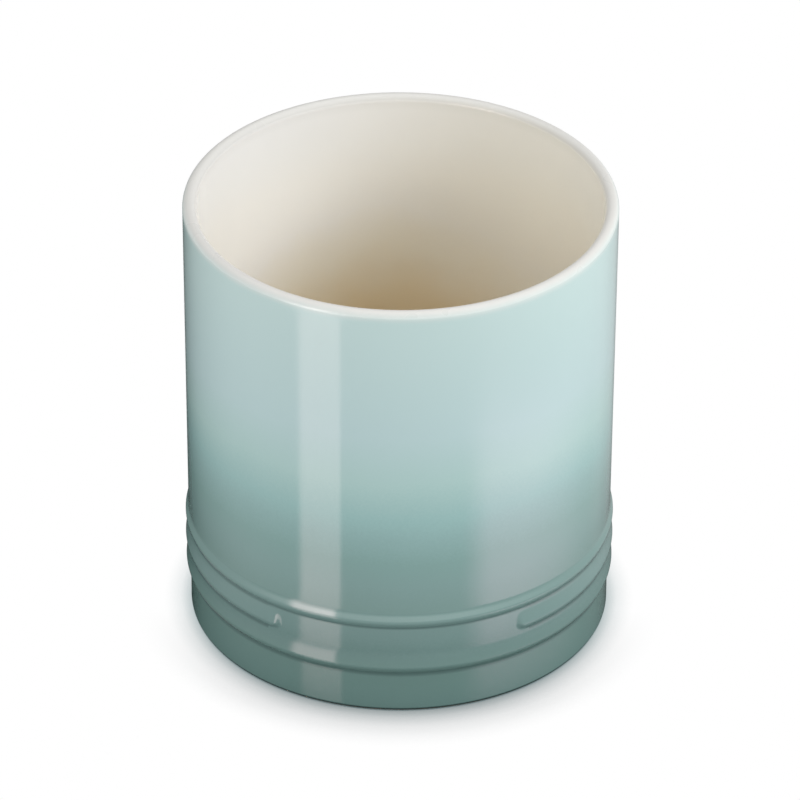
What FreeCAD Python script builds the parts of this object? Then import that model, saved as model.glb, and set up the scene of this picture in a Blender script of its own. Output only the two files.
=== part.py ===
import FreeCAD, Part

import math
import os

# A round stoneware jar for kitchen utensils: a clay body with a liner glaze inside, a coloured
# glaze outside and a glazed recess under the foot.
# Millimetres and degrees. The jar's axis is Z, it stands on z = 0 and its plain panel faces -Y.

# Jar
rim_diameter = 150.0
height = 162.5
wall = 4.7
wall_draft = 0.44  # lean of the wall, which narrows towards the foot
floor_thickness = 9.0
floor_round = 9.0  # between the inner wall and the floor

# Three bands moulded round the foot. Each flares out to a bead at its lower edge.
lowest_bead = 18.9  # height of the lowest bead above the table
band_pitch = 9.35  # from bead to bead
top_bead_rise = 1.0  # from the wall out to the top bead
lowest_bead_rise = 0.95  # from the ground between the bands out to the lowest bead
panel_step = 1.1  # from the top and middle beads in to the ground between the bands
foot_step = 1.55  # from the lowest bead in to the foot
top_flare_height = 3.8  # from where the wall starts to flare down to the top bead
top_flare_round = 5.1
band_flare_round = 16.0
bead_round = 2.4
groove_round = 2.2
under_angle = 38.0  # lean of a bead's underside
round_limit = 0.9  # rounds shrink to this share of a space that is too tight for them
panel_width = 89.0  # plain ground between the round ends of the middle band, along the wall
end_reach = 1.0  # how far the round ends run out into the grooves above and below

# Foot
foot_round = 1.6
foot_ring_width = 6.0
recess_depth = 2.0
recess_angle = 45.0
recess_round = 0.8

# Glaze
glaze = 0.4
lip_glaze_depth = 4.0  # the liner glaze runs this far down the outside of the lip
bare_foot = 0.1  # the clay is bare up to this far above the thickness of the glaze
clear = 5.0  # how far cutting shapes stand clear of the jar

rim_radius = rim_diameter / 2
lip_round = wall / 2
lip_radius = rim_radius - lip_round
top_bead = lowest_bead + 2 * band_pitch
straight_down = 0
outward = math.degrees(math.pi / 2)
inward = -outward
axis = FreeCAD.Vector(0, 0, 1)
origin = FreeCAD.Vector(0, 0, 0)


def sin(angle):
    return math.sin(math.radians(angle))


def cos(angle):
    return math.cos(math.radians(angle))


def tan(angle):
    return math.tan(math.radians(angle))


def run(length):
    """A straight stretch of an outline."""
    return ("run", length)


def turn(radius, heading):
    """An arc that brings an outline to a new heading."""
    return ("turn", radius, heading)


def trace(moves, offset, side):
    """Edges of an outline from the crest of the lip to the axis.

    A heading is the angle from straight down, away from the axis on the outside (side 1) and
    towards it on the inside (side -1). Arcs that lower the heading bulge, the others are hollow.
    The offset moves the whole outline square to itself, out of the clay where it is positive.
    """
    def normal(angle):
        return FreeCAD.Vector(side * cos(angle), 0, sin(angle))

    heading = outward
    point = FreeCAD.Vector(lip_radius, 0, height) + normal(heading) * offset
    edges = []
    for move in moves:
        if move[0] == "run":
            step = FreeCAD.Vector(side * sin(heading), 0, -cos(heading)) * move[1]
            end = point + step
            edges.append(Part.LineSegment(point, end).toShape())
        else:
            bulge = 1 if move[2] < heading else -1
            reach = bulge * move[1] + offset
            centre = point - normal(heading) * reach
            middle = centre + normal((heading + move[2]) / 2) * reach
            end = centre + normal(move[2]) * reach
            edges.append(Part.Arc(point, middle, end).toShape())
            heading = move[2]
        point = end
    edges.append(Part.LineSegment(point, FreeCAD.Vector(0, 0, point.z)).toShape())
    return edges


def flare(rise, drop, start_heading, hollow_round):
    """Moves from an upright wall out to the crest of a bead, within the height given."""
    rounds = hollow_round + bead_round
    fit = min(1, round_limit * (rise ** 2 + drop ** 2) / (2 * rise * rounds))
    hollow, bulge = fit * hollow_round, fit * bead_round
    across = hollow * cos(start_heading) + bulge - rise
    down = drop + hollow * sin(start_heading)
    length = math.sqrt(across ** 2 + down ** 2 - (hollow + bulge) ** 2)
    steepest = math.degrees(math.atan2(down, across) - math.atan2(length, hollow + bulge))
    return [turn(hollow, steepest), run(length), turn(bulge, straight_down)]


def underside(step):
    """Moves from the crest of a bead in to the upright face below, and the height that they take."""
    rounds = bead_round + groove_round
    fit = min(1, round_limit * step / (rounds * (1 - cos(under_angle))))
    bulge, hollow = fit * bead_round, fit * groove_round
    length = (step - (bulge + hollow) * (1 - cos(under_angle))) / sin(under_angle)
    drop = (bulge + hollow) * sin(under_angle) + length * cos(under_angle)
    return [turn(bulge, -under_angle), run(length), turn(hollow, straight_down)], drop


def band(rise, plain_height):
    """Moves from the crest of one bead, in to the ground below it and out to the next bead."""
    below, drop = underside(panel_step)
    plain = [run(plain_height)] if plain_height else []
    return below + plain + flare(rise, band_pitch - drop, straight_down, band_flare_round)


def underfoot():
    """Moves round the foot ring and up into the recess below the floor."""
    slope_run = (recess_depth - 2 * recess_round * (1 - cos(recess_angle))) / sin(recess_angle)
    ring_run = foot_ring_width - foot_round - recess_round * tan(recess_angle / 2)
    slope_heading = inward - recess_angle
    return [
        turn(foot_round, inward),
        run(ring_run),
        turn(recess_round, slope_heading),
        run(slope_run),
        turn(recess_round, inward),
    ]


def outside_moves(with_middle_band):
    """The outside of the jar from the lip down to the recess, with or without the middle band."""
    lip_end = height - lip_round * (1 + sin(wall_draft))
    wall_run = (lip_end - top_bead - top_flare_height) / cos(wall_draft)
    moves = [turn(lip_round, -wall_draft), run(wall_run)]
    moves += flare(top_bead_rise, top_flare_height, -wall_draft, top_flare_round)
    if with_middle_band:
        moves += band(panel_step, 0) + band(lowest_bead_rise, 0)
    else:
        moves += band(lowest_bead_rise, band_pitch)
    last_step, last_drop = underside(foot_step)
    moves += last_step
    moves.append(run(lowest_bead - last_drop - foot_round))
    return moves + underfoot()


def inside_moves():
    """The inside of the jar from the lip down to the floor."""
    rounds = (lip_round + floor_round) * (1 - sin(wall_draft))
    length = (height - floor_thickness - rounds) / cos(wall_draft)
    return [turn(lip_round, wall_draft), run(length), turn(floor_round, outward)]


def turned(with_middle_band, offset):
    """The whole jar as a solid of revolution."""
    outer = trace(outside_moves(with_middle_band), offset, 1)
    inner = trace(inside_moves(), offset, -1)
    foot_point = outer[-1].Vertexes[-1].Point
    floor_point = inner[-1].Vertexes[-1].Point
    middle = Part.LineSegment(foot_point, floor_point).toShape()
    section = Part.Wire(Part.__sortEdges__(outer + inner + [middle]))
    return Part.Face(section).revolve(origin, axis, 360)


def panel_window(offset):
    """The space of the plain panel, between the round ends of the middle band."""
    drop = underside(panel_step)[1]
    band_top = top_bead - drop
    band_bottom = lowest_bead + band_pitch - drop
    end_round = (band_top - band_bottom) / 2 + end_reach
    end_centre = FreeCAD.Vector(0, 0, (band_bottom + band_top) / 2)
    end_turn = math.degrees((panel_width / 2 + end_round) / rim_radius)
    half_turn = end_turn - math.degrees(offset / rim_radius)
    bottom = FreeCAD.Vector(0, 0, lowest_bead + band_pitch / 2)
    top = top_bead + top_bead_rise
    window = Part.makeCylinder(rim_radius + clear, top - bottom.z, bottom, axis, 2 * half_turn)
    window.rotate(origin, axis, inward - half_turn)
    for way in (-1, 1):
        angle = inward + way * end_turn
        direction = FreeCAD.Vector(cos(angle), sin(angle), 0)
        window = window.cut(Part.makeCylinder(end_round + offset, rim_diameter, end_centre, direction))
    return window


def jar(offset):
    """The jar with its bands and plain panel, grown or shrunk square to its surface."""
    window = panel_window(offset)
    banded = turned(True, offset).cut(window)
    panel = turned(False, offset).common(window)
    return banded.fuse(panel).removeSplitter()


def mid_wall(bottom, top):
    """The space inside the middle of the wall, between two heights."""
    def radius(z):
        return lip_radius - (height - z) * tan(wall_draft)
    return Part.makeCone(radius(bottom), radius(top), top - bottom, FreeCAD.Vector(0, 0, bottom))


def slab(bottom, top):
    """All the space between two heights."""
    return Part.makeCylinder(rim_diameter, top - bottom, FreeCAD.Vector(0, 0, bottom))


def glaze_coats(whole):
    """The three coats of glaze on the clay."""
    coat = whole.cut(jar(-glaze)).common(slab(glaze + bare_foot, height + clear))
    lip_glaze_edge = height - lip_glaze_depth
    mid_floor = (recess_depth + floor_thickness) / 2
    inside = mid_wall(mid_floor, height).fuse(slab(lip_glaze_edge, height + clear))
    outside = slab(0, lip_glaze_edge).cut(mid_wall(0, height))
    return {
        "interior_glaze": coat.common(inside),
        "exterior_glaze": coat.common(outside),
        "underside_glaze": coat.common(mid_wall(0, mid_floor)),
    }


whole = jar(0)
nodes = glaze_coats(whole)
clay = whole
for coat in nodes.values():
    clay = clay.cut(coat)
nodes["stoneware_body"] = clay

os.makedirs("parts", exist_ok=True)
for name, shape in nodes.items():
    solids = shape.Solids
    print(name, "solids", len(solids), "valid", shape.isValid(), "volume", round(shape.Volume, 1))
    Part.makeCompound(solids).exportStep("parts/" + name + ".step")
print("jar volume", round(whole.Volume, 1), "box", whole.optimalBoundingBox(False))
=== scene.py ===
import math

import bpy
import numpy as np
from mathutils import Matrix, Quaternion, Vector


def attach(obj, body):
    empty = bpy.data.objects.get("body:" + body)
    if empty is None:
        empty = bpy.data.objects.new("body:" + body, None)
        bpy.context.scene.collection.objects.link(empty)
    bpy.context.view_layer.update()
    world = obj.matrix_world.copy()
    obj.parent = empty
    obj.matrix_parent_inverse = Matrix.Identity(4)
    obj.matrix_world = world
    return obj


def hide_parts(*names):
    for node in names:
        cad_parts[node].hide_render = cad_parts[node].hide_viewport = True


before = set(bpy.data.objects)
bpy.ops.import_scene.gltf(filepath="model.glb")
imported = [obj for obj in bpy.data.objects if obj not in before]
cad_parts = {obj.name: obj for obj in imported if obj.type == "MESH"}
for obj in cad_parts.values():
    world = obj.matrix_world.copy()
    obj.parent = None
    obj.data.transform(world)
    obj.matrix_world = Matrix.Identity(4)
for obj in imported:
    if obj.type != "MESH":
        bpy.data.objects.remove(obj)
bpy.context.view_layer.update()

# A round stoneware jar for kitchen utensils, turned from outlines with the part's own sizes.
# Sizes are in millimetres and degrees. Meshes, lights and the camera are in metres.
# The jar's axis is Z, it stands on z = 0 and its plain panel faces -Y.
# Azimuths run from -Y towards +X.
MM = 0.001

# Jar
rim_diameter = 150.0
height = 162.5
wall = 4.7
wall_draft = 0.44
floor_thickness = 9.0
floor_round = 9.0

# Bands moulded round the foot
lowest_bead = 18.9
band_pitch = 9.35
top_bead_rise = 1.0
lowest_bead_rise = 0.95
panel_step = 1.1
foot_step = 1.55
top_flare_height = 3.8
top_flare_round = 5.1
band_flare_round = 16.0
bead_round = 2.4
groove_round = 2.2
under_angle = 38.0
round_limit = 0.9  # share of the largest rounds that fit
panel_width = 89.0
band_end_slope = 2.8  # width of the soft slope where the middle band ends

# Foot
foot_round = 1.6
foot_ring_width = 6.0
recess_depth = 2.0
recess_angle = 45.0
recess_round = 0.8

# Glaze
glaze = 0.4
lip_glaze_depth = 4.0
bare_foot = 0.5
pool_and_shade_reach = 1.6  # how far glaze runs from a bead into a groove, and the painted shade with it
pool_and_shade_samples = 40  # samples of an outline within that reach
pool_and_shade_window = 3  # reaches to each side that count for the average outline

# Mesh
arc_step = 4.0
hidden_arc_step = 10.0
fine_arc_step = 0.25
column_step = 1.5
end_column_step = 0.2
row_step = 6.0
least_row_gap = 0.04
smooth_angle = 40.0

rim_radius = rim_diameter / 2
lip_round = wall / 2
lip_radius = rim_radius - lip_round
top_bead = lowest_bead + 2 * band_pitch
lip_glaze_edge = height - lip_glaze_depth

# Headings of outlines, as angles from straight down
straight_down = 0.0
outward = 90.0
inward = -outward

# Sides of the wall that an outline runs along
outer_side = 1
inner_side = -1


def sin(angle):
    return np.sin(np.radians(angle))


def cos(angle):
    return np.cos(np.radians(angle))


def tan(angle):
    return np.tan(np.radians(angle))


def srgb(*channels):
    """Linear colour of 0 to 255 display values."""
    shares = np.array(channels) / 255
    linear = np.where(shares <= 0.04045, shares / 12.92, ((shares + 0.055) / 1.055) ** 2.4)
    return (*linear.tolist(), 1.0)


def smoothstep(share):
    share = np.clip(share, 0, 1)
    return share * share * (3 - 2 * share)


# Outlines


def run(length):
    """A straight stretch of an outline."""
    return ("run", length)


def turn(radius, heading):
    """An arc that brings an outline to a new heading."""
    return ("turn", radius, heading)


def trace(moves, offset, side, step):
    """Points of an outline from the crest of the lip: radius, height and way along it.

    A heading is the angle from straight down, away from the axis on the outer side and towards
    it on the inner side. Arcs that lower the heading bulge, the others are hollow.
    The offset moves the outline square to itself, out of the clay where it is positive.
    """
    heading = outward
    radius, z, way = lip_radius, height + offset, 0.0
    points = [(radius, z, way)]
    for move in moves:
        if move[0] == "run":
            radius += side * sin(heading) * move[1]
            z -= cos(heading) * move[1]
            way += move[1]
            points.append((radius, z, way))
            continue
        bend, target = move[1:]
        reach = offset + (bend if target < heading else -bend)
        centre_radius = radius - side * cos(heading) * reach
        centre_z = z - sin(heading) * reach
        count = math.ceil(abs(target - heading) / step)
        for angle in np.linspace(heading, target, count + 1)[1:]:
            arc_radius = centre_radius + side * cos(angle) * reach
            arc_z = centre_z + sin(angle) * reach
            arc_way = way + abs(reach * math.radians(angle - heading))
            points.append((arc_radius, arc_z, arc_way))
        radius, z, way = points[-1]
        heading = target
    return np.array(points)


def flare(rise, drop, start_heading, hollow_round):
    """Moves from an upright wall out to the crest of a bead, within the height given."""
    fit = min(1, round_limit * (rise ** 2 + drop ** 2) / (2 * rise * (hollow_round + bead_round)))
    hollow, bulge = fit * hollow_round, fit * bead_round
    across = hollow * cos(start_heading) + bulge - rise
    down = drop + hollow * sin(start_heading)
    length = math.sqrt(across ** 2 + down ** 2 - (hollow + bulge) ** 2)
    steepest = math.degrees(math.atan2(down, across) - math.atan2(length, hollow + bulge))
    return [turn(hollow, steepest), run(length), turn(bulge, straight_down)]


def underside(step):
    """Moves from the crest of a bead in to the upright face below, and the height that they take."""
    fit = min(1, round_limit * step / (bead_round + groove_round) / (1 - cos(under_angle)))
    bulge, hollow = fit * bead_round, fit * groove_round
    length = (step - (bulge + hollow) * (1 - cos(under_angle))) / sin(under_angle)
    drop = (bulge + hollow) * sin(under_angle) + length * cos(under_angle)
    return [turn(bulge, -under_angle), run(length), turn(hollow, straight_down)], drop


def band(rise, plain_height):
    """Moves from the crest of one bead, in to the ground below it and out to the next bead."""
    below, drop = underside(panel_step)
    plain = [run(plain_height)] if plain_height else []
    return below + plain + flare(rise, band_pitch - drop, straight_down, band_flare_round)


def underfoot():
    """Moves round the foot ring and up into the recess below the floor."""
    slope_run = (recess_depth - 2 * recess_round * (1 - cos(recess_angle))) / sin(recess_angle)
    ring_run = foot_ring_width - foot_round - recess_round * tan(recess_angle / 2)
    slope_heading = inward - recess_angle
    return [
        turn(foot_round, inward),
        run(ring_run),
        turn(recess_round, slope_heading),
        run(slope_run),
        turn(recess_round, inward),
    ]


def outside_moves(with_middle_band):
    """The outside of the jar from the lip down to the recess, with or without the middle band."""
    lip_end = height - lip_round * (1 + sin(wall_draft))
    wall_run = (lip_end - top_bead - top_flare_height) / cos(wall_draft)
    moves = [turn(lip_round, -wall_draft), run(wall_run)]
    moves += flare(top_bead_rise, top_flare_height, -wall_draft, top_flare_round)
    if with_middle_band:
        moves += band(panel_step, 0) + band(lowest_bead_rise, 0)
    else:
        moves += band(lowest_bead_rise, band_pitch)
    last_step, last_drop = underside(foot_step)
    moves += last_step
    moves.append(run(lowest_bead - last_drop - foot_round))
    return moves + underfoot()


def inside_moves():
    """The inside of the jar from the lip down to the floor."""
    rounds = (lip_round + floor_round) * (1 - sin(wall_draft))
    length = (height - floor_thickness - rounds) / cos(wall_draft)
    return [turn(lip_round, wall_draft), run(length), turn(floor_round, outward)]


def outside_outline(with_middle_band, offset, step):
    return trace(outside_moves(with_middle_band), offset, outer_side, step)


def inside_outline(offset, step):
    return trace(inside_moves(), offset, inner_side, step)


def falling_part(outline):
    """The stretch of the outside from the lip down to the table."""
    return outline[:np.argmin(outline[:, 1]) + 1]


def rising_part(outline):
    """The stretch of the outside from the foot ring up into the recess."""
    lowest = np.flatnonzero(outline[:, 1] < outline[:, 1].min() + least_row_gap)[-1]
    return outline[lowest:]


def wall_outlines(offset, step):
    """The outside from the lip down to the table, with the middle band and without it."""
    return [falling_part(outside_outline(banded, offset, step)) for banded in (True, False)]


def stretch(outline, start, end):
    """The points of an outline between two heights, where it only falls or only rises."""
    ordered = outline[np.argsort(outline[:, 1])]
    low, high = min(start, end), max(start, end)
    within = (ordered[:, 1] > low + least_row_gap) & (ordered[:, 1] < high - least_row_gap)
    levels = np.concatenate(([low], ordered[within, 1], [high]))
    if start > end:
        levels = levels[::-1]
    radii, ways = (np.interp(levels, ordered[:, 1], ordered[:, k]) for k in (0, 2))
    return np.column_stack((radii, levels, ways))


def radii_at(outline, levels):
    """Radii of a falling outline at the heights given."""
    return np.interp(levels, outline[::-1, 1], outline[::-1, 0])


def ways_at(outline, levels):
    """Ways from the lip along a falling outline to the heights given."""
    return np.interp(levels, outline[::-1, 1], outline[::-1, 2])


# Columns of the meshes, and the middle band's ends


def band_limits():
    """Heights of the lower and upper edge of the middle band."""
    drop = underside(panel_step)[1]
    return lowest_bead + band_pitch - drop, top_bead - drop


def band_end_round():
    bottom, top = band_limits()
    return (top - bottom) / 2


def column_azimuths():
    """Azimuths of the mesh columns, closer together at the ends of the middle band."""
    reach = band_end_round() + band_end_slope
    first = math.degrees((panel_width / 2 - band_end_slope) / rim_radius)
    last = math.degrees((panel_width / 2 + reach) / rim_radius)
    even = np.arange(-180, 180, column_step)
    even = even[(abs(even) < first) | (abs(even) > last)]
    close = np.arange(first, last, end_column_step)
    return np.sort(np.concatenate((even, close, -close)))


columns = column_azimuths()


def band_share(levels):
    """How far the middle band stands up at each height and column, from 0 on the panel to 1."""
    bottom, top = band_limits()
    round_end = band_end_round() + band_end_slope / 2
    end_centre = panel_width / 2 + band_end_round()
    along = np.radians(abs(columns)) * rim_radius
    sideways = np.maximum(0, end_centre - along)
    upright = levels - (bottom + top) / 2
    inside_by = round_end - np.hypot(sideways[None, :], upright[:, None])
    share = smoothstep(inside_by / band_end_slope)
    return np.where(along[None, :] >= end_centre, 1.0, share)


# Rows of the meshes


def wall_levels(offset, step, top, bottom):
    """Heights of the mesh rows on the outside, where either outline bends."""
    bends = [stretch(outline, bottom, top)[:, 1] for outline in wall_outlines(offset, step)]
    even = np.arange(top_bead + top_flare_height + row_step, top, row_step)
    levels = np.unique(np.concatenate((*bends, even)))
    apart = np.concatenate(([True], np.diff(levels) > least_row_gap))
    apart[-1] = True
    return levels[apart][::-1]


def pool_and_shade_depth(outline, levels):
    """How far the outline lies in from its average nearby: above 0 in a groove, below 0 on a bead."""
    spacing = pool_and_shade_reach / pool_and_shade_samples
    even = np.arange(outline[-1, 1], outline[0, 1], spacing)
    radii = radii_at(outline, even)
    window = pool_and_shade_window * pool_and_shade_reach
    distances = np.arange(-window, window, spacing)
    weights = np.exp(-0.5 * (distances / pool_and_shade_reach) ** 2)
    padded = np.pad(radii, len(weights) // 2, mode="edge")
    average = np.convolve(padded, weights / weights.sum(), mode="same")
    average = average[len(weights) // 2:][:len(radii)]
    return np.interp(levels, even, average - radii)


def wall_rows(offset, step, top, bottom):
    """Rows of the outside from one height down to another: radii, height, way and groove depth, for
    gathered glaze and painted shade.
    """
    levels = wall_levels(offset, step, top, bottom)
    banded, plain = wall_outlines(offset, fine_arc_step)
    share = band_share(levels)

    def mixed(on_band, on_panel):
        return on_panel[:, None] + (on_band - on_panel)[:, None] * share

    radii = mixed(radii_at(banded, levels), radii_at(plain, levels))
    pools_and_shade = mixed(pool_and_shade_depth(banded, levels), pool_and_shade_depth(plain, levels))
    return list(zip(radii, levels, ways_at(plain, levels), pools_and_shade))


def turned_rows(points, side):
    """Rows of a plain turned surface, with the way below 0 on the inner side."""
    return [(radius, z, side * way, 0.0) for radius, z, way in points]


# Meshes


def add_object(name, data):
    """A new object in the scene, with its mesh, lamp or camera."""
    item = bpy.data.objects.new(name, data)
    bpy.context.scene.collection.objects.link(item)
    return item


def add_mesh(name, points, faces):
    mesh = bpy.data.meshes.new(name)
    mesh.from_pydata(points, [], faces)
    return add_object(name, mesh)


def row_edges(row, count):
    """Pairs of neighbouring points along a row of a mesh, once round the axis."""
    return [(row * count + column, row * count + (column + 1) % count) for column in range(count)]


def shell(name, rows, closed):
    """A closed mesh round the axis.

    The rows join up in a ring where it is closed. Otherwise they end in a point on the axis
    at both ends.
    """
    count = len(columns)
    last = len(rows) - 1
    x_share, y_share = sin(columns), -cos(columns)
    points, lip_run, pool_and_shade = [], [], []
    for radii, z, way, depth in rows:
        radii = np.broadcast_to(radii, count)
        points.append(np.column_stack((radii * x_share, radii * y_share, np.full(count, z))))
        lip_run.append(np.full(count, way))
        pool_and_shade.append(np.broadcast_to(depth, count))
    pairs = [(row, row + 1) for row in range(last)]
    if closed:
        pairs.append((last, 0))
    faces = []
    for upper, lower in pairs:
        for above, below in zip(row_edges(upper, count), row_edges(lower, count)):
            faces.append((above[0], *below, above[1]))
    if not closed:
        for place, (row, order) in enumerate(((0, 1), (last, -1))):
            tip = len(rows) * count + place
            points.append([(0, 0, rows[row][1])])
            lip_run.append([rows[row][2]])
            pool_and_shade.append([0.0])
            faces += [(tip, *edge[::order]) for edge in row_edges(row, count)]
    piece = add_mesh(name, (np.concatenate(points) * MM).tolist(), faces)
    for label, values in (("lip_run", lip_run), ("pool_and_shade", pool_and_shade)):
        layer = piece.data.attributes.new(label, "FLOAT", "POINT")
        layer.data.foreach_set("value", np.concatenate(values))
    piece.data.shade_smooth()
    piece.data.set_sharp_from_angle(angle=math.radians(smooth_angle))
    return piece


def exterior_coat():
    outer = wall_rows(0, arc_step, lip_glaze_edge, bare_foot)
    inner = wall_rows(-glaze, hidden_arc_step, lip_glaze_edge, bare_foot)
    return shell("exterior_glaze_coat", outer + inner[::-1], closed=True)


def interior_coat():
    def surface(offset, step):
        inside = inside_outline(offset, step)
        plain = falling_part(outside_outline(False, offset, step))
        over_lip = stretch(plain, height + offset, lip_glaze_edge)
        return turned_rows(inside[::-1], inner_side) + turned_rows(over_lip[1:], outer_side)

    seen, hidden = surface(0, arc_step), surface(-glaze, hidden_arc_step)
    return shell("interior_glaze_coat", seen + hidden[::-1], closed=False)


def recess_coat():
    def surface(offset):
        rise = rising_part(outside_outline(False, offset, arc_step))
        return turned_rows(stretch(rise, bare_foot, rise[-1, 1]), outer_side)

    return shell("recess_glaze_coat", surface(-glaze)[::-1] + surface(0), closed=False)


def clay_body():
    inside = turned_rows(inside_outline(-glaze, hidden_arc_step)[::-1], inner_side)
    outside = wall_rows(-glaze, hidden_arc_step, height - glaze, bare_foot)[1:]
    bare = outside_outline(False, 0, arc_step)
    foot = turned_rows(stretch(falling_part(bare), bare_foot, 0), outer_side)
    ring = turned_rows(stretch(rising_part(bare), 0, bare_foot), outer_side)
    coated_rise = rising_part(outside_outline(False, -glaze, hidden_arc_step))
    recess = turned_rows(stretch(coated_rise, bare_foot, coated_rise[-1, 1]), outer_side)
    return shell("stoneware_clay_body", inside + outside + foot + ring + recess, closed=False)


# Shader nodes


def put(tree, socket, value):
    """Sets an input to a value, or links it to another node's output."""
    if isinstance(value, bpy.types.NodeSocket):
        tree.links.new(value, socket)
    else:
        socket.default_value = value


def calculate(tree, operation, *values):
    node = tree.nodes.new("ShaderNodeMath")
    node.operation = operation
    for socket, value in zip(node.inputs, values):
        put(tree, socket, value)
    return node.outputs[0]


def remap(tree, value, from_low, from_high, to_low=0.0, to_high=1.0, smooth=False):
    node = tree.nodes.new("ShaderNodeMapRange")
    node.interpolation_type = "SMOOTHSTEP" if smooth else "LINEAR"
    for socket, number in zip(node.inputs, (value, from_low, from_high, to_low, to_high)):
        put(tree, socket, number)
    return node.outputs[0]


def noise(tree, grain, detail=2.0):
    """Soft noise from 0 to 1 with the given grain in millimetres, fixed to the piece."""
    place = tree.nodes.new("ShaderNodeTexCoord")
    node = tree.nodes.new("ShaderNodeTexNoise")
    put(tree, node.inputs["Vector"], place.outputs["Object"])
    put(tree, node.inputs["Scale"], 1 / (grain * MM))
    put(tree, node.inputs["Detail"], detail)
    return node.outputs[0]


noise_spread = (0.3, 0.7)  # most of a soft noise lies between these


def drift(tree, grain, low, high):
    """Soft noise spread out from one value to another."""
    return remap(tree, noise(tree, grain), *noise_spread, low, high)


def sway(tree, grain, reach):
    """Soft noise from -reach to reach."""
    return calculate(tree, "MULTIPLY_ADD", noise(tree, grain), 2 * reach, -reach)


def position(tree, axis):
    """A piece's own coordinate in millimetres."""
    place = tree.nodes.new("ShaderNodeTexCoord")
    split = tree.nodes.new("ShaderNodeSeparateXYZ")
    put(tree, split.inputs[0], place.outputs["Object"])
    return calculate(tree, "DIVIDE", split.outputs[axis], MM)


def level(tree, *shifts):
    """Height above the table in millimetres, moved by the shifts given."""
    shifted = position(tree, "Z")
    for shift in shifts:
        shifted = calculate(tree, "ADD", shifted, shift)
    return shifted


def attribute(tree, name, output="Fac"):
    node = tree.nodes.new("ShaderNodeAttribute")
    node.attribute_name = name
    return node.outputs[output]


def ramp(tree, value, stops):
    """Colours along a value, from a list of (value, colour)."""
    low, high = stops[0][0], stops[-1][0]
    node = tree.nodes.new("ShaderNodeValToRGB")
    put(tree, node.inputs[0], remap(tree, value, low, high))
    elements = node.color_ramp.elements
    for _ in stops[2:]:
        elements.new(0.5)
    for element, (place, colour) in zip(elements, stops):
        element.position = (place - low) / (high - low)
        element.color = colour
    return node.outputs[0]


def blend(tree, share, first, second, kind="MIX"):
    node = tree.nodes.new("ShaderNodeMix")
    node.data_type = "RGBA"
    node.blend_type = kind
    put(tree, node.inputs["Factor"], share)
    put(tree, node.inputs[6], first)
    put(tree, node.inputs[7], second)
    return node.outputs[2]


def bump(tree, relief, depth):
    """Surface relief with the given depth in millimetres."""
    node = tree.nodes.new("ShaderNodeBump")
    put(tree, node.inputs["Strength"], 1.0)
    put(tree, node.inputs["Distance"], depth * MM)
    put(tree, node.inputs["Height"], relief)
    return node.outputs[0]


# Materials

plain_white = (1.0, 1.0, 1.0, 1.0)
plain_black = (0.0, 0.0, 0.0, 1.0)
cream = srgb(239, 238, 232)
honey = srgb(222, 195, 146)
# The liner's cream on the lip, painted a greyer white as painted shade on the up-facing lip
shaded_inner_lip_white = srgb(204, 203, 199)
shaded_lip_white = srgb(212, 211, 207)
# Darker glaze in the grooves: partly gathered glaze, partly painted shade
pooled_glaze_and_shade_green = srgb(50, 74, 72)
# A painted contact shadow along the foot's bottom edge
painted_foot_shadow_green = srgb(28, 42, 42)
recess_green = srgb(84, 113, 109)
thin_recess_green = srgb(98, 126, 121)
clay_buff = srgb(198, 178, 148)
clay_dark_buff = srgb(184, 162, 130)
clay_speck = srgb(120, 96, 70)

# Painted light and shade on the liner glaze: slightly cooler towards -X, where it is painted lit, and
# warmer towards +X, where it is painted shaded
painted_lit_cool_tint = (1.0, 1.005, 1.03, 1.0)
painted_shade_warm_tint = (0.99, 0.965, 0.9, 1.0)

# Colours of the graded glaze by height above the table
graded_stops = [
    (0.0, srgb(98, 127, 123)),
    (14.0, srgb(95, 124, 119)),
    (22.0, srgb(91, 120, 116)),
    (30.0, srgb(101, 129, 126)),
    (42.0, srgb(107, 136, 132)),
    (52.0, srgb(112, 142, 139)),
    (62.0, srgb(114, 147, 143)),
    (72.0, srgb(126, 159, 157)),
    (80.0, srgb(136, 171, 169)),
    (94.0, srgb(157, 186, 183)),
    (112.0, srgb(168, 192, 193)),
    (162.0, srgb(178, 200, 198)),
]

# Colours of the liner glaze by height above the table, in the cavity and up to the lip
cavity_stops = [
    (50.0, honey),
    (70.0, srgb(231, 213, 178)),
    (80.0, srgb(235, 221, 191)),
    (100.0, srgb(239, 235, 221)),
    (116.0, cream),
]
# Near the lip the cream is painted a greyer white, as painted shade on the up-facing lip
shaded_inner_lip_stops = [
    (132.0, cream),
    (146.0, srgb(235, 235, 231)),
    (157.0, srgb(232, 232, 229)),
    (160.4, srgb(226, 226, 223)),
    (161.3, shaded_inner_lip_white),
    (162.4, shaded_lip_white),
]

# Heights between which the glaze changes: the painted contact shadow at the foot's bottom edge, the
# painted light and shade of the liner's sides, and the duller lip
painted_foot_shadow_end = (0.8, 1.6)
painted_light_start = (86.0, 108.0)
painted_light_end = (160.6, 162.4)
dull_start = (157.0, 161.0)

lip_dullness = 0.2  # added to the roughness on the lip
lip_fade_ways = (0.4, 5.6)  # from the crest of the lip, where the liner glaze runs out
pool_and_shade_limits = (0.15, 0.24)
pooled_glaze_and_shade_share = 0.49  # of the colour of glaze gathered in the deepest grooves, which is partly painted shade
painted_light_reach = 60.0  # to each side of the axis, for the liner's painted light and shade
painted_light_honey_fall = 18.0  # how much lower the honey colour ends at that reach: painted light on the cavity's sides
refraction = 1.5


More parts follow.
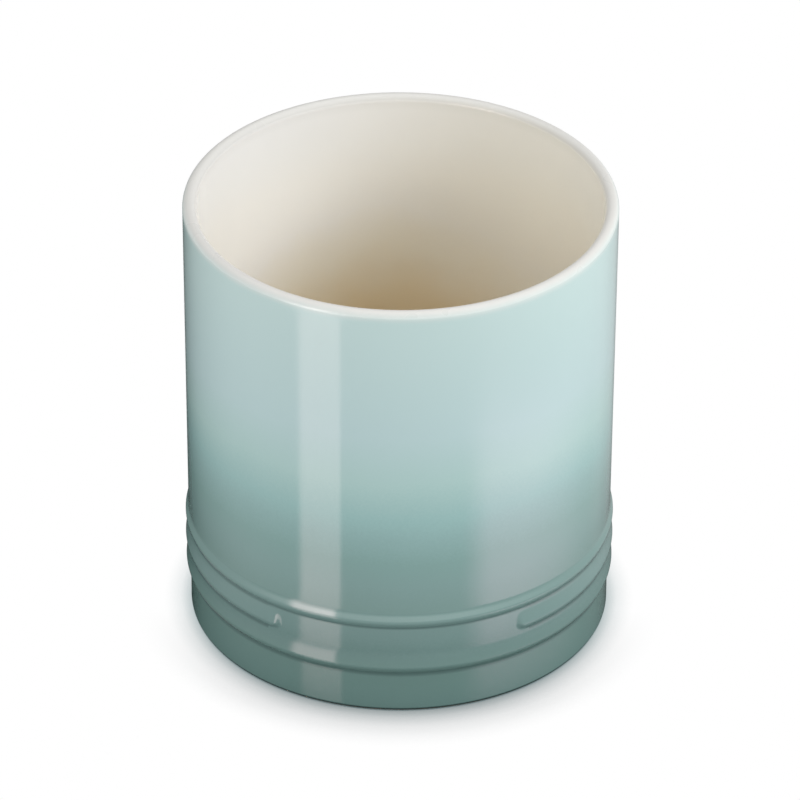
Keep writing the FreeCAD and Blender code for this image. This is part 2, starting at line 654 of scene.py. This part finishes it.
def surface_material(name, colour, roughness, normal):
    """A material whose colour, roughness and normal come from the functions given."""
    material = bpy.data.materials.new(name)
    material.use_nodes = True
    tree = material.node_tree
    shader = tree.nodes["Principled BSDF"]
    put(tree, shader.inputs["Base Color"], colour(tree))
    put(tree, shader.inputs["Roughness"], roughness(tree))
    put(tree, shader.inputs["Normal"], normal(tree))
    put(tree, shader.inputs["IOR"], refraction)
    return material


def glaze_roughness(tree):
    """Shiny, and a little duller where the glaze is thin on the lip."""
    shiny = drift(tree, grain=14.0, low=0.07, high=0.11)
    dull = remap(tree, level(tree), *dull_start, 0.0, lip_dullness)
    return calculate(tree, "ADD", shiny, dull)


def orange_peel(tree):
    """The slight unevenness of a fired glaze."""
    return bump(tree, noise(tree, grain=6.0, detail=1.0), depth=0.012)


def lip_fade(tree):
    """The liner glaze's share on the outside of the lip, where it runs out into the coloured glaze."""
    uneven = sway(tree, grain=9.0, reach=0.4)
    way = calculate(tree, "ADD", attribute(tree, "lip_run"), uneven)
    return remap(tree, way, *lip_fade_ways, 1.0, 0.0, smooth=True)


def graded_colour(tree):
    """Paler with height, with the grain and drift of spray.

    Darker in the grooves, where glaze gathers and painted shade falls, and with a painted contact
    shadow along the foot's bottom edge.
    """
    spray = sway(tree, grain=0.9, reach=2.5)
    slow_drift = sway(tree, grain=45.0, reach=4.0)
    graded = ramp(tree, level(tree, spray, slow_drift), graded_stops)
    # Darker in the grooves: gathered glaze and painted shade
    pooled_and_shaded = remap(tree, attribute(tree, "pool_and_shade"), *pool_and_shade_limits, 0.0, pooled_glaze_and_shade_share)
    # A painted contact shadow along the foot's bottom edge, just above the table
    painted_foot_shadow = remap(tree, level(tree), *painted_foot_shadow_end, 1.0, 0.0)
    return blend(tree, painted_foot_shadow, blend(tree, pooled_and_shaded, graded, pooled_glaze_and_shade_green), painted_foot_shadow_green)


def exterior_colour(tree):
    # The cream on the outer lip is painted a greyer white, as painted shade
    return blend(tree, lip_fade(tree), graded_colour(tree), shaded_lip_white)


def interior_colour(tree):
    """Honey-coloured in the depth, cream above it and a greyer white on the lip, which is painted shade.

    The honey ends lower towards the sides, as painted light, and the liner is cooler towards -X,
    where it is painted lit, and warmer towards +X, where it is painted shaded.
    """
    across = calculate(tree, "DIVIDE", position(tree, "X"), painted_light_reach)
    # Painted light and shade: the honey colour ends lower towards the cavity's lit sides than in its
    # shaded middle
    fall = calculate(tree, "MULTIPLY", calculate(tree, "POWER", across, 2.0), painted_light_honey_fall)
    wash = sway(tree, grain=30.0, reach=12.0)
    cavity = ramp(tree, level(tree, wash, fall), cavity_stops)
    # Painted shade: the lip a greyer white than the cream
    lip = ramp(tree, level(tree), shaded_inner_lip_stops)
    near_lip = calculate(tree, "GREATER_THAN", level(tree), shaded_inner_lip_stops[0][0])
    inside = blend(tree, near_lip, cavity, lip)
    # Painted light and shade: cooler towards -X, where the liner is painted lit, and warmer towards +X,
    # where it is painted shaded
    painted_light_tint = blend(tree, remap(tree, across, -1.0, 1.0, smooth=True), painted_lit_cool_tint, painted_shade_warm_tint)
    above_honey = remap(tree, level(tree), *painted_light_start)
    below_crest = remap(tree, level(tree), *painted_light_end, 1.0, 0.0)
    painted_light_share = calculate(tree, "MULTIPLY", below_crest, above_honey)
    inside = blend(tree, painted_light_share, inside, painted_light_tint, kind="MULTIPLY")
    outside = calculate(tree, "GREATER_THAN", attribute(tree, "lip_run"), 0.0)
    return blend(tree, outside, inside, exterior_colour(tree))


def recess_colour(tree):
    thin = drift(tree, grain=20.0, low=0.0, high=1.0)
    return blend(tree, thin, recess_green, thin_recess_green)


def clay_colour(tree):
    tone = blend(tree, noise(tree, grain=7.0), clay_buff, clay_dark_buff)
    specks = remap(tree, noise(tree, grain=0.7, detail=3.0), from_low=0.62, from_high=0.7)
    return blend(tree, specks, tone, clay_speck)


def clay_roughness(tree):
    return drift(tree, grain=2.0, low=0.75, high=0.9)


def clay_grit(tree):
    return bump(tree, noise(tree, grain=0.5, detail=4.0), depth=0.08)


def dress(piece, node, slot, *looks):
    """Puts a piece in a node's place, with a material named after its slot."""
    piece.data.materials.append(surface_material(slot, *looks))
    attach(piece, "root")
    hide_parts(node)


# Camera and lights, in metres

aim = Vector((0.06 * MM, 0, 81.1 * MM))
camera_elevation = 32.4
camera_distance = 2.717
camera_roll = 0.28
camera_lens = 350.7  # millimetres, as is the sensor
camera_sensor = 36.0
lamp_distance = 1.6
ambient = 0.955  # brightness of the even light from all round


def toward(azimuth, elevation):
    """Direction from the jar."""
    return Vector((
        sin(azimuth) * cos(elevation),
        -cos(azimuth) * cos(elevation),
        sin(elevation),
    ))


def point_at_jar(item, azimuth, elevation, distance, roll=0.0):
    """Places a camera or lamp round the jar, pointed at its middle."""
    back = toward(azimuth, elevation)
    item.location = aim + back * distance
    item.rotation_mode = "QUATERNION"
    rolled = Quaternion((0, 0, 1), math.radians(roll))
    item.rotation_quaternion = (-back).to_track_quat("-Z", "Y") @ rolled


def make_camera():
    data = bpy.data.cameras.new("camera")
    data.sensor_width = camera_sensor
    data.lens = camera_lens
    camera = add_object("camera", data)
    point_at_jar(camera, 0, camera_elevation, camera_distance, camera_roll)
    bpy.context.scene.camera = camera


def soft_box(name, azimuth, elevation, edge, brightness):
    """A square lamp that would light a white surface facing it to the given brightness."""
    data = bpy.data.lights.new(name, "AREA")
    data.shape = "SQUARE"
    data.size = edge
    data.energy = brightness * (math.pi * lamp_distance) ** 2
    lamp = add_object(name, data)
    point_at_jar(lamp, azimuth, elevation, lamp_distance)
    lamp.visible_camera = False
    lamp.visible_glossy = False


def new_tree(owner):
    """The emptied node tree of a material or a world."""
    owner.use_nodes = True
    owner.node_tree.nodes.clear()
    return owner.node_tree


def make_world():
    """Even light all round, plain white where it is seen."""
    world = bpy.data.worlds.new("studio")
    bpy.context.scene.world = world
    tree = new_tree(world)
    rays = tree.nodes.new("ShaderNodeLightPath")
    seen = calculate(tree, "MAXIMUM", rays.outputs["Is Camera Ray"], rays.outputs["Is Glossy Ray"])
    seen = calculate(tree, "MAXIMUM", seen, rays.outputs["Is Transmission Ray"])
    background = tree.nodes.new("ShaderNodeBackground")
    put(tree, background.inputs["Strength"], remap(tree, seen, 0.0, 1.0, ambient, 1.0))
    output = tree.nodes.new("ShaderNodeOutputWorld")
    tree.links.new(background.outputs[0], output.inputs["Surface"])
    world.cycles.sampling_method = "NONE"


# The studio that reflections show, as a ring round the jar, in metres.
# Below the table it is the studio as a polished table mirrors it.
ring_distance = 0.7
ring_bottom = -0.5
ring_top = 1.0
ring_row = 0.025
ring_step = 1.0

# Brightness of the backdrop by azimuth, mirrored in the table and above it
mirrored_backdrop = [
    (-180, 0.02), (-160, 0.04), (-144, 0.07), (-132, 0.18), (-115, 0.4), (-95, 0.8), (-78, 1.0),
    (36, 1.0), (95, 1.0), (115, 0.9), (130, 0.76), (142, 0.58), (152, 0.52), (162, 0.36), (180, 0.02),
]
open_backdrop = [
    (-180, 0.3), (-138, 0.45), (-108, 0.85), (-84, 1.5), (-60, 2.2),
    (36, 2.4), (84, 1.7), (134, 1.2), (160, 0.7), (180, 0.3),
]

# Heights over which the mirrored backdrop gives way to the open one, and its fall with height
backdrop_change = (-0.05, 0.12)
open_backdrop_fall = [(0.28, 1.0), (0.4, 0.4)]

# A narrow light at the front left and a wide one at the front right: their colours, the outer and
# inner azimuths of their soft edges, and their brightness by height
strip_colour = (1.0, 0.8, 0.8)
strip_edges = ((-55, -50), (-29.5, -31))
strip_glow = [
    (-0.5, 3.9), (-0.35, 2.65), (-0.29, 2.2), (-0.25, 2.3), (-0.2, 3.2), (-0.1, 4.3), (0.0, 5.2),
    (0.06, 5.4), (0.12, 7.0), (0.17, 12.5), (0.26, 12.0), (0.29, 1.0), (1.0, 0.5),
]
window_colour = (1.0, 0.72, 0.85)
window_edges = ((31, 50), (122, 52))
window_glow = [
    (-0.5, 2.65), (-0.34, 2.4), (-0.315, 1.85), (-0.3, 0.8), (-0.285, 0.2), (-0.2, 0.1), (0.0, 0.0),
]


def by_stops(values, stops):
    places, levels = zip(*stops)
    return np.interp(values, places, levels)


def between(azimuths, edges):
    """1 between the inner azimuths of two soft edges and 0 outside their outer azimuths."""
    (left_out, left_in), (right_out, right_in) = edges
    rise = smoothstep((azimuths - left_out) / (left_in - left_out))
    fall = smoothstep((right_out - azimuths) / (right_out - right_in))
    return rise * fall


def studio_glow(azimuths, heights):
    """Colour of the studio by height and azimuth."""
    change_start, change_end = backdrop_change
    above = smoothstep((heights - change_start) / (change_end - change_start))
    above_share = above * by_stops(heights, open_backdrop_fall)
    backdrop = np.outer(1 - above, by_stops(azimuths, mirrored_backdrop))
    backdrop += np.outer(above_share, by_stops(azimuths, open_backdrop))
    strip = np.outer(by_stops(heights, strip_glow), between(azimuths, strip_edges))
    window = np.outer(by_stops(heights, window_glow), between(azimuths, window_edges))
    colours = [backdrop + strip_share * strip + window_share * window
               for strip_share, window_share in zip(strip_colour, window_colour)]
    return np.stack((*colours, np.ones_like(backdrop)), axis=-1)


def make_studio():
    """An upright ring round the jar that only reflections show."""
    azimuths = np.arange(-180, 180, ring_step)
    heights = np.arange(ring_bottom, ring_top + ring_row / 2, ring_row)
    count = len(azimuths)
    points = [(*(ring_distance * toward(azimuth, 0)).xy, z) for z in heights for azimuth in azimuths]
    faces = []
    for row in range(len(heights) - 1):
        for below, above in zip(row_edges(row, count), row_edges(row + 1, count)):
            faces.append((*below, *above[::-1]))
    ring = add_mesh("studio", points, faces)
    glow = ring.data.attributes.new("glow", "FLOAT_COLOR", "POINT")
    glow.data.foreach_set("color", studio_glow(azimuths, heights).ravel())
    material = bpy.data.materials.new("studio")
    tree = new_tree(material)
    shine = tree.nodes.new("ShaderNodeEmission")
    put(tree, shine.inputs["Color"], attribute(tree, "glow", "Color"))
    output = tree.nodes.new("ShaderNodeOutputMaterial")
    tree.links.new(shine.outputs[0], output.inputs["Surface"])
    material.cycles.emission_sampling = "NONE"
    ring.data.materials.append(material)
    ring.visible_camera = False
    ring.visible_diffuse = False
    ring.visible_shadow = False
    ring.visible_transmission = False


# Table, with the reaches in millimetres and the strengths of the jar's contact shadow on it
table_reach = 4.0  # metres from the axis
table_grey = (0.65, 0.65, 0.65, 1.0)
shade_samples = 4
close_shade = (4.0, 0.45)
near_shade = (10.0, 0.66)
near_shade_tint = srgb(20, 105, 110)
front_shade_reach = 22.0
front_shade_strength = 0.85
front_shade_start = (-10.0, -70.0)  # along Y, from no shade to full shade
front_shade_tint = srgb(20, 60, 64)
mirror_shade = (70.0, 1.0)
mirror_shade_power = 3.2


def contact_shade(tree, reach, strength):
    """How open the table is to the light within a short reach, from 0 to 1."""
    node = tree.nodes.new("ShaderNodeAmbientOcclusion")
    node.samples = shade_samples
    node.inputs["Distance"].default_value = reach * MM
    closed = calculate(tree, "SUBTRACT", 1.0, node.outputs["AO"])
    return calculate(tree, "SUBTRACT", 1.0, calculate(tree, "MULTIPLY", closed, strength))


def make_floor():
    """A white table, plain white to the camera apart from the jar's contact shadow.

    Reflections pass through it and show the mirrored studio, which the jar hides near its foot.
    """
    corners = [(x * table_reach, y * table_reach, 0) for x, y in ((-1, -1), (1, -1), (1, 1), (-1, 1))]
    floor = add_mesh("floor", corners, [(0, 1, 2, 3)])
    material = bpy.data.materials.new("white_table")
    tree = new_tree(material)
    near = calculate(tree, "MULTIPLY", contact_shade(tree, *close_shade), contact_shade(tree, *near_shade))
    in_front = remap(tree, position(tree, "Y"), *front_shade_start)
    front_strength = calculate(tree, "MULTIPLY", in_front, front_shade_strength)
    front = contact_shade(tree, front_shade_reach, front_strength)
    white = tree.nodes.new("ShaderNodeEmission")
    near_colour = blend(tree, near, near_shade_tint, plain_white)
    front_colour = blend(tree, front, front_shade_tint, plain_white)
    put(tree, white.inputs["Color"], blend(tree, 1.0, near_colour, front_colour, kind="MULTIPLY"))
    matt = tree.nodes.new("ShaderNodeBsdfDiffuse")
    shade = calculate(tree, "MULTIPLY", near, front)
    put(tree, matt.inputs["Color"], blend(tree, shade, plain_black, table_grey))
    clear = tree.nodes.new("ShaderNodeBsdfTransparent")
    mirrored = calculate(tree, "POWER", contact_shade(tree, *mirror_shade), mirror_shade_power)
    put(tree, clear.inputs["Color"], blend(tree, mirrored, plain_black, plain_white))
    rays = tree.nodes.new("ShaderNodeLightPath")
    choice = matt.outputs[0]
    for ray, shader in (("Is Glossy Ray", clear), ("Is Camera Ray", white)):
        mix = tree.nodes.new("ShaderNodeMixShader")
        tree.links.new(rays.outputs[ray], mix.inputs[0])
        tree.links.new(choice, mix.inputs[1])
        tree.links.new(shader.outputs[0], mix.inputs[2])
        choice = mix.outputs[0]
    output = tree.nodes.new("ShaderNodeOutputMaterial")
    tree.links.new(choice, output.inputs["Surface"])
    floor.data.materials.append(material)


# Pieces and stage

dress(exterior_coat(), "exterior_glaze", "graded_glaze", exterior_colour, glaze_roughness, orange_peel)
dress(interior_coat(), "interior_glaze", "cream_glaze", interior_colour, glaze_roughness, orange_peel)
dress(recess_coat(), "underside_glaze", "recess_glaze", recess_colour, glaze_roughness, orange_peel)
dress(clay_body(), "stoneware_body", "stoneware", clay_colour, clay_roughness, clay_grit)

make_camera()
make_floor()
make_world()
soft_box("key", azimuth=57, elevation=31, edge=0.6, brightness=0.22)
soft_box("side", azimuth=80, elevation=36, edge=0.8, brightness=0.375)
soft_box("fill", azimuth=-58, elevation=12, edge=0.8, brightness=0.145)
soft_box("high_fill", azimuth=-62, elevation=33, edge=0.8, brightness=0.11)
soft_box("front", azimuth=5, elevation=10, edge=0.8, brightness=0.05)
make_studio()

bpy.context.scene.view_settings.view_transform = "Standard"
